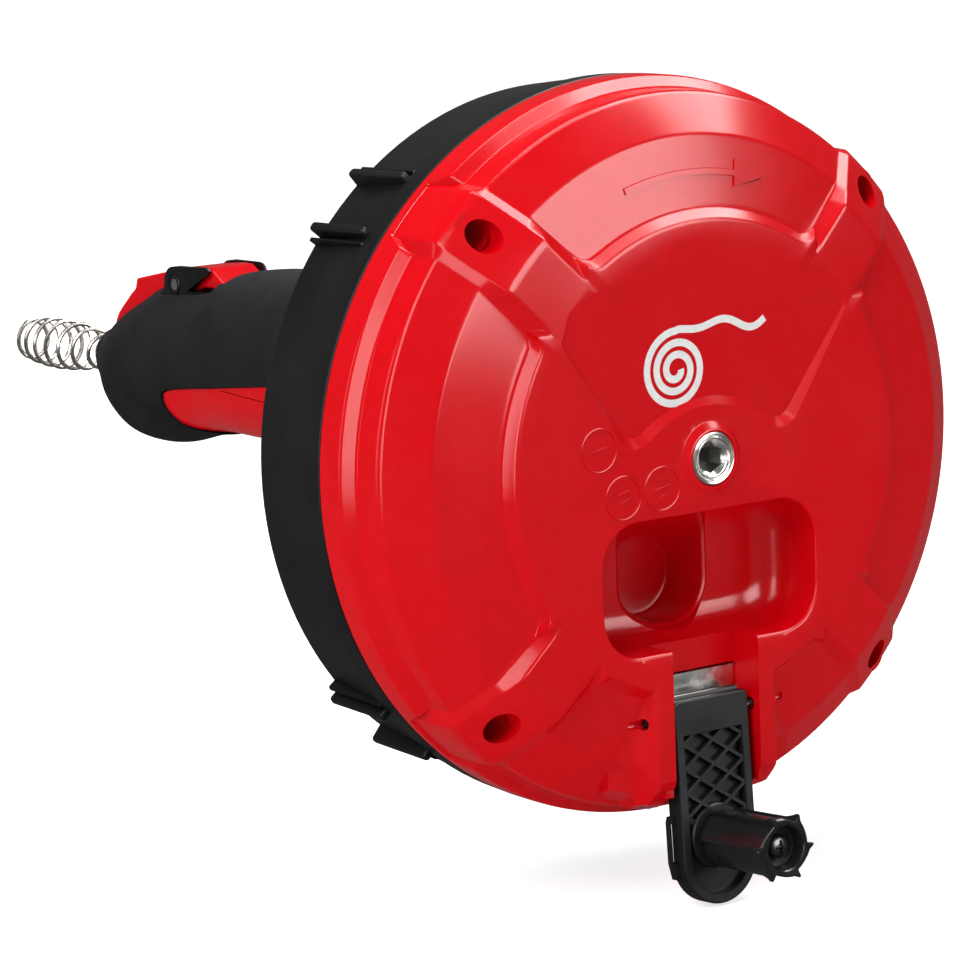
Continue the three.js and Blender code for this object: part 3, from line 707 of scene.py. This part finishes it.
def makeFrontDrum():
    body = turned("frontDrum", drumOutline, 144)
    for index in range(4):
        around = 45 + 90 * index
        for turn in (-drum["lugTurn"], drum["lugTurn"]):
            lug = lugBody("lug", drum["lugHalf"], drum["lugTop"], 103.5)
            lug.data.transform(alongY(around + turn))
            ledge = lugBody("ledge", 0.55, 110.1, 103.5)
            ledge.data.transform(alongY(around + turn + math.copysign(1.75, turn)))
            add(body, lug, ledge)
    for index in range(drum["ribs"]):
        rib = lofted("rib", [[(r, y, z) for y, z in ((40, -1.3), (drumFaceY(r) + 1.1, -1.1),
                                                     (drumFaceY(r) + 1.1, 1.1), (40, 1.3))]
                             for r in (35, 86.5)])
        rib.data.transform(alongY(360 / drum["ribs"] * index))
        add(body, rib)
    finishPiece(body, "front_drum_shell", "drum", blackPlastic, ["front_drum"])


makeFrontDrum()
print("front drum is turned")


coupler = {"face": -42, "flats": 8, "depth": 12, "mouthR": 5.35}


def hexRod(name, flats, y0, y1, place=None):
    bm = bmesh.new()
    radius = flats / math.sqrt(3)
    bmesh.ops.create_cone(bm, cap_ends=True, segments=6, radius1=radius, radius2=radius, depth=y1 - y0)
    lay = Matrix.Translation((0, (y0 + y1) / 2, 0)) @ Matrix.Rotation(math.radians(90), 4, "X")
    bmesh.ops.transform(bm, matrix=lay, verts=bm.verts)
    if place:
        bmesh.ops.transform(bm, matrix=place, verts=bm.verts)
    return newObject(name, bm)


def makeCoupler():
    face = coupler["face"]
    body = turned("coupler", [(0, face + 1.0), (5.6, face + 1.0), (5.9, face + 0.25), (6.15, face + 0.12),
                              (6.35, face + 0.25), (6.5, face + 0.9), (6.95, face + 0.9), (7.1, face + 0.08),
                              (7.3, face), (7.75, face + 0.25), (8, face + 0.7), (8, -24.3), (5, -24.3),
                               (5, -9),
                              (0, -9)], 96)
    mouth = coupler["mouthR"]
    cut(body, turned("mouth", [(0, face - 1), (mouth + 0.9, face - 1), (mouth, face + 1.0),
                               (4.05, face + 2.2), (0, face + 2.2)], 64))
    cut(body, hexRod("socket", coupler["flats"], face - 1, face + coupler["depth"]))
    finishPiece(body, "drive_coupler_turned", "drum", brightSteel, ["drive_coupler"],
                sharp=25)
    # A thin dark plug laid on the socket's bottom: painted shade that darkens the deep hex hole.
    bottom = face + coupler["depth"]
    paintedShadePlug = hexRod("socketFloor", coupler["flats"] - 0.1, bottom - 2.5, bottom + 0.1)
    finishPiece(paintedShadePlug, "socket_painted_shade", "drum", blackSteel)


def makeCoverScrew(index):
    body = turned("screw", [(0, -13.4), (3.4, -13.4), (3.95, -13.1), (4.2, -12.5), (4.2, -9.4), (2, -9.3),
                            (2, 12), (0, 12)], 40, bossPlace(index))
    cut(body, hexRod("drive", 3, -14, -11.3, bossPlace(index)))
    name = f"cover_screw_{index + 1}"
    finishPiece(body, name + "_turned", "drum", blackSteel, [name])


makeCoupler()
for number in range(cover["spokes"]):
    makeCoverScrew(number)
print("coupler and screws are turned")


crank = {"lean": 3.5, "halfWidth": 13.8, "front": -1.7, "back": 4.5, "top": 4.9, "endCentre": -43.7,
         "rim": 2.9, "recess": 2.9, "gridTop": -5.6, "gridBottom": -31, "gridPitch": 7.3, "gridSlope": 33.6,
         "ribWidth": 1.0, "knobDrop": -37}
crankLean = Matrix.Rotation(math.radians(-crank["lean"]), 4, "X")
crankPlace = Matrix.Translation(crankPin) @ crankLean @ Matrix.Scale(mm, 4)
knobPlace = crankPlace @ Matrix.Translation((0, 0, crank["knobDrop"]))


def armOutline(inset, top=None):
    half = crank["halfWidth"] - inset
    top = crank["top"] - inset if top is None else top
    corner = max(0.4, 1.6 - inset * 0.4)
    points = []
    for i in range(33):
        angle = math.pi + math.pi * i / 32
        points.append((half * math.cos(angle), crank["endCentre"] + half * math.sin(angle)))
    for side, start in ((1, 0), (-1, 90)):
        for i in range(6):
            angle = math.radians(start + 18 * i)
            points.append((side * (half - corner) + corner * math.cos(angle),
                           top - corner + corner * math.sin(angle)))
    return points


def makeArm():
    arm = lofted("arm", plateLoops(armOutline, roundedStations(crank["front"], crank["back"], 0.6)))
    knuckle = [(3.9, -0.5), (3.9, 4.9), (3.5, 5.5), (2.8, 5.9), (1.6, 6.0), (1.1, 5.8), (0.9, 5.3),
               (0.9, -0.5)]
    add(arm, lofted("knuckle", [[(x, y, z) for y, z in knuckle] for x in (-12.2, 12.2)]))
    lip = [(-14.9, -29.5), (-15.5, -31), (-15.5, -43.5), (-14.4, -48.5), (-10, -48.5), (-10, -29.5)]
    add(arm, lofted("lip", [[(x, y, z) for x, z in lip] for y in (1.9, 4.1)]))
    cut(arm, lofted("frontRecess", plateLoops(
        lambda inset: armOutline(crank["rim"] + inset, crank["gridTop"] - inset),
        [(-3, -0.3), (crank["front"], -0.15), (-1.3, 0.1), (crank["front"] + crank["recess"], 0.2)])))
    cut(arm, lofted("backRecess", plateLoops(
        lambda inset: armOutline(crank["rim"] + inset, -6 - inset), [(5.5, -0.2), (2.9, 0.2)])))
    cut(arm, boxPiece("lipSlot", (-15.1, -13.0), (1.5, 4.6), (-43.5, -31.5)))
    ribs = None
    half = crank["halfWidth"] - crank["rim"]
    for slope in (-1, 1):
        for step in range(-4, 9):
            thin = crank["ribWidth"] / 2
            rib = boxPiece("rib", (-22, 22), (-1.35, 1.35), (-thin, thin))
            height = crank["gridTop"] - crank["gridPitch"] * (step + 0.35)
            rib.data.transform(Matrix.Translation((0, 0, height)) @ alongY(slope * crank["gridSlope"]))
            if ribs is None:
                ribs = rib
            else:
                add(ribs, rib)
    combine(ribs, boxPiece("field", (-half - 0.3, half + 0.3), (-4, 4),
                           (crank["gridBottom"], crank["gridTop"] + 0.3)), "INTERSECT")
    add(arm, ribs)
    add(arm, boxPiece("gridSill", (-half - 0.3, half + 0.3), (-0.9, 1.4),
                      (crank["gridBottom"] - 1.2, crank["gridBottom"])))
    drop = Matrix.Translation((0, 0, crank["knobDrop"]))
    add(arm, turned("boss", [(0, -1.2), (9.2, -1.2), (9.7, -0.7), (9.9, 1.6), (0, 1.6)], 48, drop))
    add(arm, turned("backBoss", [(0, 2.5), (5.8, 2.5), (5.5, 4.5), (0, 4.5)], 40, drop))
    cut(arm, turned("studBore", [(0, -6), (2.6, -6), (2.6, 6), (0, 6)], 32, drop))
    cut(arm, rodAcross("pinBore", 1.56, -20, 20, 0, 0, 24))
    finishPiece(arm, "crank_arm_moulded", "crank", blackPlastic, ["crank_arm"],
                crankPlace)


knobShape = {"teeth": 6, "base": -3.1, "tip": -32.4, "low": 8.0, "high": 9.2, "earR": 10.65, "cupR": 6.4,
             "cupDepth": 5, "bore": 2.6}


def toothedLoop(y, low, high, ear):  # each tooth climbs slowly and falls back at once
    points = []
    for tooth in range(knobShape["teeth"]):
        start = tooth * 360 / knobShape["teeth"]
        for share, height in ((0, 0), (0.2, 0.02), (0.4, 0.16), (0.6, 0.42), (0.8, 0.78), (0.88, 0.95),
                              (0.93, 1), (0.975, 0.98), (0.985, 0.55)):
            radius = low + (high - low) * height
            if ear and share in (0.88, 0.93, 0.975):
                radius = ear if share != 0.88 else (radius + ear) / 2
            angle = math.radians(start + share * 360 / knobShape["teeth"])
            points.append((radius * math.cos(angle), y, radius * math.sin(angle)))
    return points


def makeKnob():
    low, high, tip, base = knobShape["low"], knobShape["high"], knobShape["tip"], knobShape["base"]
    ear = knobShape["earR"]
    stations = ((base, low - 0.5, high - 0.6, 0), (base - 0.5, low, high - 0.1, 0),
                (base - 1.2, low, high, 0),
                (tip + 5.5, low + 0.1, high + 0.2, 0), (tip + 4, low + 0.2, high + 0.5, 0),
                (tip + 2.4, low + 0.3, high + 0.4, ear - 0.5), (tip + 1.4, low + 0.35, high + 0.4, ear),
                (tip + 0.5, low + 0.35, high + 0.4, ear), (tip + 0.1, low, high, ear - 0.4),
                (tip, low - 0.3, high - 0.4, 0))
    loops = [toothedLoop(*station) for station in stations]
    body = lofted("knob", loops)
    cup = knobShape["cupR"]
    cut(body, turned("cup", [(0, tip - 2), (cup + 0.9, tip - 2), (cup + 0.5, tip), (cup + 0.1, tip + 0.4),
                             (cup, tip + 1), (cup - 0.2, tip + knobShape["cupDepth"] - 0.4),
                             (cup - 0.7, tip + knobShape["cupDepth"]), (0, tip + knobShape["cupDepth"])], 64))
    bore = knobShape["bore"]
    cut(body, turned("bore", [(0, tip - 3), (bore, tip - 3), (bore, 0), (0, 0)], 32))
    finishPiece(body, "knob_moulded", "knob", glossBlack, ["knob"], knobPlace, sharp=28)


def makeKnobScrew():
    seat = knobShape["tip"] + knobShape["cupDepth"] - 0.3
    body = turned("knobScrew", [(0, seat - 2.3), (1.2, seat - 2.25), (2.4, seat - 1.95), (3.2, seat - 1.4),
                                (3.6, seat - 0.7), (3.7, seat), (2.3, seat), (2.3, 4.1), (0, 4.1)], 48)
    for x, z in ((2.1, 0.42), (0.42, 2.1)):
        arms = []
        for y, k in ((seat - 3, 1.0), (seat - 2.2, 1.0), (seat - 0.7, 0.55)):
            arms.append([(-x * k, y, -z * k), (x * k, y, -z * k), (x * k, y, z * k), (-x * k, y, z * k)])
        cut(body, lofted("drive", arms))
    finishPiece(body, "knob_screw_turned", "crank", blackSteel, ["knob_screw"], knobPlace)


def makeGlossBlack():
    recipe = Recipe("glossBlack", 0.22)
    recipe.colour(recipe.noise(30, 4), (0.008, 0.008, 0.009), (0.014, 0.014, 0.015))
    recipe.roughness(recipe.noise(70, 4), 0.16, 0.3)
    recipe.bump(recipe.noise(500, 2), 0.00005, 0.2)
    recipe.shader.inputs["Specular IOR Level"].default_value = 0.3
    return recipe.material


glossBlack = makeGlossBlack()
makeArm()
makeKnob()
makeKnobScrew()
print("crank is moulded")


grip = {"widthRatio": 0.86, "rubber": 2.4, "gap": 0.3, "recess": 0.9, "steps": 128, "troughHalf": 9.8,
        "bushR": 6.4}
# Along the grip: y, half its height, and how high its middle stands over the cable.
gripNeck = [(56, 31.4, 0), (56.4, 32, 0), (59.4, 33.8, 0), (60.2, 34, 0), (63.4, 34, 0), (64.2, 33.7, 0.1),
            (65.2, 32.6, 0.3)]
gripLine = [(66.5, 31, 0.6), (70, 28.6, 1.5), (76, 27.1, 2.8), (84, 26.5, 4), (96, 26.8, 6.2), (110, 27.5, 8),
            (128, 28.3, 9.3), (150, 29, 9.8), (173, 29.5, 9.5), (196, 28.7, 8.1), (212, 27.2, 6.7),
            (227, 27.4, 5.0), (241, 28.5, 2.7), (249, 27.9, 0.9), (256, 26.5, -0.8), (262, 25.2, -1.9),
            (267, 23.9, -2.6), (272, 22.0, -2.9), (278, 19.2, -3.0), (284, 15.5, -2.8), (288, 13.1, -2.4),
            (291, 11.5, -1.8), (293.4, 10.3, -1.2), (294.5, 9.6, -0.9), (295, 8.9, -0.8)]
windowOutline = [(40, 5), (150, 5), (165, 3.4), (188, 0.7), (210, -1.9), (222, -3.4), (226.5, -4.2),
                 (229, -5.4), (230.3, -7.6), (230.8, -10.5), (230.6, -14), (229.4, -17), (226.5, -19),
                 (221, -20), (216, -20.5), (213.5, -24), (212, -50), (40, -50)]


def smoothLine(points, steps=4):
    made = []
    for i in range(len(points) - 1):
        p0 = Vector(points[max(0, i - 1)])
        p1, p2 = Vector(points[i]), Vector(points[i + 1])
        p3 = Vector(points[min(len(points) - 1, i + 2)])
        for step in range(steps):
            t = step / steps
            made.append(0.5 * ((2 * p1) + (p2 - p0) * t + (2 * p0 - 5 * p1 + 4 * p2 - p3) * t * t
                               + (3 * p1 - p0 - 3 * p2 + p3) * t ** 3))
    return made + [Vector(points[-1])]


gripStations = gripNeck + [tuple(point) for point in smoothLine(gripLine, 3)]


def gripRise(y):
    for (y0, _, rise0), (y1, _, rise1) in zip(gripStations, gripStations[1:]):
        if y <= y1:
            return rise0 + (rise1 - rise0) * max(0, y - y0) / (y1 - y0)
    return gripStations[-1][2]


def gripBody(name, depth, steps=None):
    first, last = gripStations[0][0] + depth, gripStations[-1][0] - depth
    inner = [(radius - depth, y) for y, radius, rise in gripStations if first + 0.2 < y < last - 0.2]
    outline = [(0, first), (inner[0][0] - 0.2, first)] + inner + [(inner[-1][0] - 0.6, last), (0, last)]
    body = turned(name, outline, steps or grip["steps"])
    for vert in body.data.vertices:
        vert.co.x *= grip["widthRatio"]
        vert.co.z += gripRise(vert.co.y)
    return body


def sidePlate(name, outline, x0, x1, bevel=0, bevelSteps=3):
    bm = bmesh.new()
    face = bm.faces.new([bm.verts.new((x0, y, z)) for y, z in outline])
    made = bmesh.ops.extrude_face_region(bm, geom=[face])["geom"]
    moved = [item for item in made if isinstance(item, bmesh.types.BMVert)]
    bmesh.ops.translate(bm, vec=(x1 - x0, 0, 0), verts=moved)
    bmesh.ops.recalc_face_normals(bm, faces=bm.faces)
    if bevel:
        flat = [edge for edge in bm.edges if abs(edge.verts[0].co.x - edge.verts[1].co.x) < 1e-6]
        bmesh.ops.bevel(bm, geom=flat, offset=bevel, affect="EDGES", segments=bevelSteps, profile=0.5,
                        material=-1)
    return newObject(name, bm)


def gripBore(name):
    bush = grip["bushR"] + grip["gap"]
    return turned(name, [(0, 50), (18.3, 50), (18.3, 90), (16.5, 90), (16.5, 108), (11, 112), (11, 256),
                         (6.5, 260), (6.5, 283), (bush, 283), (bush, 300), (0, 300)], 64)


def windowPlate(name, grow):
    outline = []
    for y, z in windowOutline:
        sideways = grow if y > 225 else 0
        outline.append((y + sideways, z + (grow if z > -8 else 0)))
    return sidePlate(name, outline, -60, 60)


def leverTrough(name):
    floor = [(204, 25), (222, 25), (226, 21), (243, 19), (256, 13), (270, 7), (279, 5.5), (284, 7), (284, 60),
             (204, 60)]
    return sidePlate(name, floor, -grip["troughHalf"], grip["troughHalf"])


def bracketSeat(name, grow):
    outline = [(208.5 - grow, 22 - grow), (226, 17 - grow), (240 + grow, 17 - grow), (240 + grow, 60),
               (208.5 - grow, 60)]
    return sidePlate(name, outline, -13.2 - grow, 13.2 + grow)


def makeRubber():
    sleeve = gripBody("rubber", 0)
    cut(sleeve, gripBody("core", grip["rubber"]), windowPlate("window", 0), leverTrough("trough"))
    bush = grip["bushR"] + grip["gap"]
    cut(sleeve, turned("noseBore", [(0, 280), (bush, 280), (bush, 294), (bush + 0.8, 296), (0, 296)], 64))
    cut(sleeve, turned("neckCut", [(0, 50), (27, 50), (27, 66), (0, 66)], 64))
    cut(sleeve, bracketSeat("seat", 0.3))
    finishPiece(sleeve, "grip_rubber_sleeve", "grip", blackRubber, ["grip_rubber"])


def partingGroove(y0, y1):
    z0 = -0.5 - (190 - y0) * 0.054
    place = Matrix.Translation((0, y0, z0)) @ Matrix.Rotation(math.atan(0.054), 4, "X")
    groove = boxPiece("groove", (-40, -20), (0, y1 - y0), (-0.16, 0.16))
    for vert in groove.data.vertices:
        vert.co = place @ vert.co
    return groove


gripScrews = ((122, -12.6), (160, -12.6), (212, -12))


def makeShells():
    for side, name in ((-1, "grip_shell_left"), (1, "grip_shell_right")):
        shell = gripBody("shell", grip["rubber"] + grip["gap"], 96)
        bare = gripBody("bare", grip["recess"])
        combine(bare, windowPlate("window", -grip["gap"]), "INTERSECT")
        add(shell, bare)
        cut(shell, gripBore("bore"), leverTrough("trough"), boxPiece("jawWay", (-5, 5), (261, 274), (0, 30)))
        cut(shell, bracketSeat("seat", 0.3))
        if side > 0:
            for y, z in gripScrews:
                cut(shell, rodAcross("headWay", 3.5, 12, 40, y, z, 32))
                cut(shell, rodAcross("shankWay", 1.9, -8, 20, y, z, 16))
        else:
            for y, z in gripScrews:
                cut(shell, rodAcross("shankWay", 1.9, -8, 20, y, z, 16))
            for y in range(80, 190, 5):
                cut(shell, partingGroove(y, y + 5.2))
        half = (0.15, 60) if side > 0 else (-60, -0.15)
        combine(shell, boxPiece("half", half, (0, 400), (-80, 80)), "INTERSECT")
        finishPiece(shell, name + "_moulded", "grip", redPlastic, [name])


makeRubber()
makeShells()
print("grip is moulded")


leverOutline = [(205, 30), (206, 31.6), (213.4, 35.9), (215.4, 36.9), (220, 36.9), (232, 35.9), (244.4, 33.4),
                (254, 31.6),
                (263.1, 29.8), (264.0, 26.9), (264.9, 25.9), (267.6, 24.1), (270.5, 21.8), (273.7, 19.3),
                (276.4, 16.9), (277.9, 14.9), (278.8, 13.2), (276, 12), (268, 16), (256, 22), (243, 26),
                (228, 27), (219, 30)]
lever = {"half": 9, "bevel": 0.9, "earOuter": 13.0, "earInner": 9.7, "earR": 6.1}


def makeLever():
    body = sidePlate("lever", leverOutline, -lever["half"], lever["half"], lever["bevel"])
    pinY, pinZ = (leverPin.y - seamY) / mm, leverPin.z / mm
    cut(body, rodAcross("pinBore", 2.3, -20, 20, pinY, pinZ),
        boxPiece("jawSlot", (-4.3, 4.3), (261.6, 272.4), (5, 21.3)))
    seat = Matrix.Translation((0, 213, 30)) @ Matrix.Rotation(math.radians(90), 4, "X")
    cut(body, turned("springSeat", [(0, -4), (6.5, -4), (6.5, 2.6), (0, 2.6)], 32, seat))
    finishPiece(body, "lever_moulded", "lever", redPlastic, ["lever"])


def earOutline(pinY, pinZ, side):
    points = [(240, 17), (pinY + lever["earR"] + 0.6, pinZ - 3)]
    for i in range(13):
        angle = math.radians(7.5 * i)
        points.append((pinY + lever["earR"] * math.cos(angle), pinZ + lever["earR"] * math.sin(angle)))
    if side < 0:  # the near ear runs out into a slanted fairing
        return points + [(216, 37.2), (213.8, 36.9), (213.0, 36.2), (213.3, 35.2), (224.5, 28.9),
                         (223, 28.6), (209.2, 29.3), (209.2, 22), (226, 17)]
    return points + [(214, 37.3), (211.5, 37.0), (210, 36.0), (209.2, 34), (209, 31), (209, 22), (226, 17)]


def makeBracket():
    pinY, pinZ = (leverPin.y - seamY) / mm, leverPin.z / mm
    base = boxPiece("bridge", (-12.9, 12.9), (226, 239.5), (17, 18.9))
    rim = Matrix.Translation((0, pinY, pinZ)) @ Matrix.Rotation(math.radians(-90), 4, "Z")
    for side in (-1, 1):
        inner, outer = side * lever["earInner"], side * lever["earOuter"]
        ear = sidePlate("ear", earOutline(pinY, pinZ, side), inner, outer)
        for vert in ear.data.vertices:
            behind = max(0, pinY - 4 - vert.co.y)
            if abs(vert.co.x) > lever["earInner"] + 0.1:
                vert.co.x -= side * min(2.6, behind * 0.16)
        add(base, ear)
        mouth = outer - side * 0.7
        pinRecess = [(0, mouth), (3.6, mouth), (3.9, outer + side), (0, outer + side)]
        cut(base, turned("pinRecess", pinRecess, 40, rim))
    cut(base, rodAcross("pinBore", 2.3, -20, 20, pinY, pinZ), gripBore("bore"))
    finishPiece(base, "lever_bracket_moulded", "grip", blackPlastic, ["lever_bracket"])
    bushOutline = [(2.1, -12.95), (3.3, -12.95), (3.4, -12.8), (3.4, 12.8), (3.3, 12.95), (2.1, 12.95)]
    bush = turned("bush", bushOutline, 40, rim)
    finishPiece(bush, "lever_bush", "grip", blackSteel)


makeLever()
makeBracket()
print("lever is moulded")


cable = {"bulbStart": 299, "bulbLength": 57, "bulbTurns": 7.3, "bulbWire": 0.75, "leadStart": 62.3,
         "leadEnd": 301, "leadRadius": 4, "leadWire": 0.85, "leadPitch": 1.75}


def windWire(name, pointAt, count, radius, sides):
    curve = bpy.data.curves.new(name, "CURVE")
    curve.dimensions = "3D"
    curve.bevel_depth = radius
    curve.bevel_resolution = sides
    curve.use_fill_caps = True
    spline = curve.splines.new("POLY")
    spline.points.add(count - 1)
    for i in range(count):
        spline.points[i].co = (*pointAt(i / (count - 1)), 1)
        spline.points[i].radius = 0.55 if i in (0, count - 1) else 1
    holder = bpy.data.objects.new(name, curve)
    bpy.context.scene.collection.objects.link(holder)
    mesh = bpy.data.meshes.new_from_object(holder.evaluated_get(bpy.context.evaluated_depsgraph_get()))
    bpy.data.objects.remove(holder)
    bm = bmesh.new()
    bm.from_mesh(mesh)
    return newObject(name, bm)


def bulbPoint(share):
    angle = fullTurn * cable["bulbTurns"] * share
    radius = 5.05 + 13.4 * share - 12.2 * share * share
    if share > 0.985:
        radius -= (share - 0.985) * 60
    y = cable["bulbStart"] + cable["bulbLength"] * (1.2 * share - 0.2 * share * share)
    return radius * math.cos(angle), y, radius * math.sin(angle)


def leadPoint(share):
    length = cable["leadEnd"] - cable["leadStart"] - 2 * cable["leadWire"]
    angle = fullTurn * length / cable["leadPitch"] * share
    radius = cable["leadRadius"] - cable["leadWire"]
    y = cable["leadStart"] + cable["leadWire"] + length * share
    return radius * math.cos(angle), y, radius * math.sin(angle)


def makeCable():
    bulb = windWire("bulb", bulbPoint, 420, cable["bulbWire"], 3)
    finishPiece(bulb, "bulb_head_wound", "cable", springSteel, ["bulb_head"],
                weighted=False)
    turns = (cable["leadEnd"] - cable["leadStart"]) / cable["leadPitch"]
    lead = windWire("lead", leadPoint, int(turns * 18), cable["leadWire"], 1)
    finishPiece(lead, "cable_lead_wound", "cable", springSteel, ["cable_lead"],
                weighted=False)
    noseOutline = [(4.7, 283.4), (6.4, 283.4), (6.4, 294.6), (7.4, 294.9), (7.5, 295.8), (7.2, 296.7),
                   (6.7, 297.2), (6.1, 297.3), (5.6, 296.8), (5.3, 294), (5.1, 288.6), (4.7, 287.4)]
    ring = turned("noseRing", noseOutline, 96)
    finishPiece(ring, "nose_ring_turned", "grip", brightSteel, ["nose_bush"])


makeCable()
print("cable is wound")


finishes = {
    "coupler_washer": zincPlate, "coupler_nut": zincPlate, "detent_leaf": brightSteel,
    "crank_pin": blackSteel,
    "cable_coil": springSteel, "cable_run": springSteel, "drum_spindle": brightSteel,
    "spindle_retainer": zincPlate, "knob_washer": brightSteel, "grip_screw_1": blackSteel,
    "grip_screw_2": blackSteel, "grip_screw_3": blackSteel, "drum_bush": bronze, "lever_pin": brightSteel,
    "lever_spring": springSteel, "clamp_jaw": brightSteel,
}

for name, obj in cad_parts.items():
    obj.data.materials.clear()
    obj.data.materials.append(finishes.get(name, redPlastic))
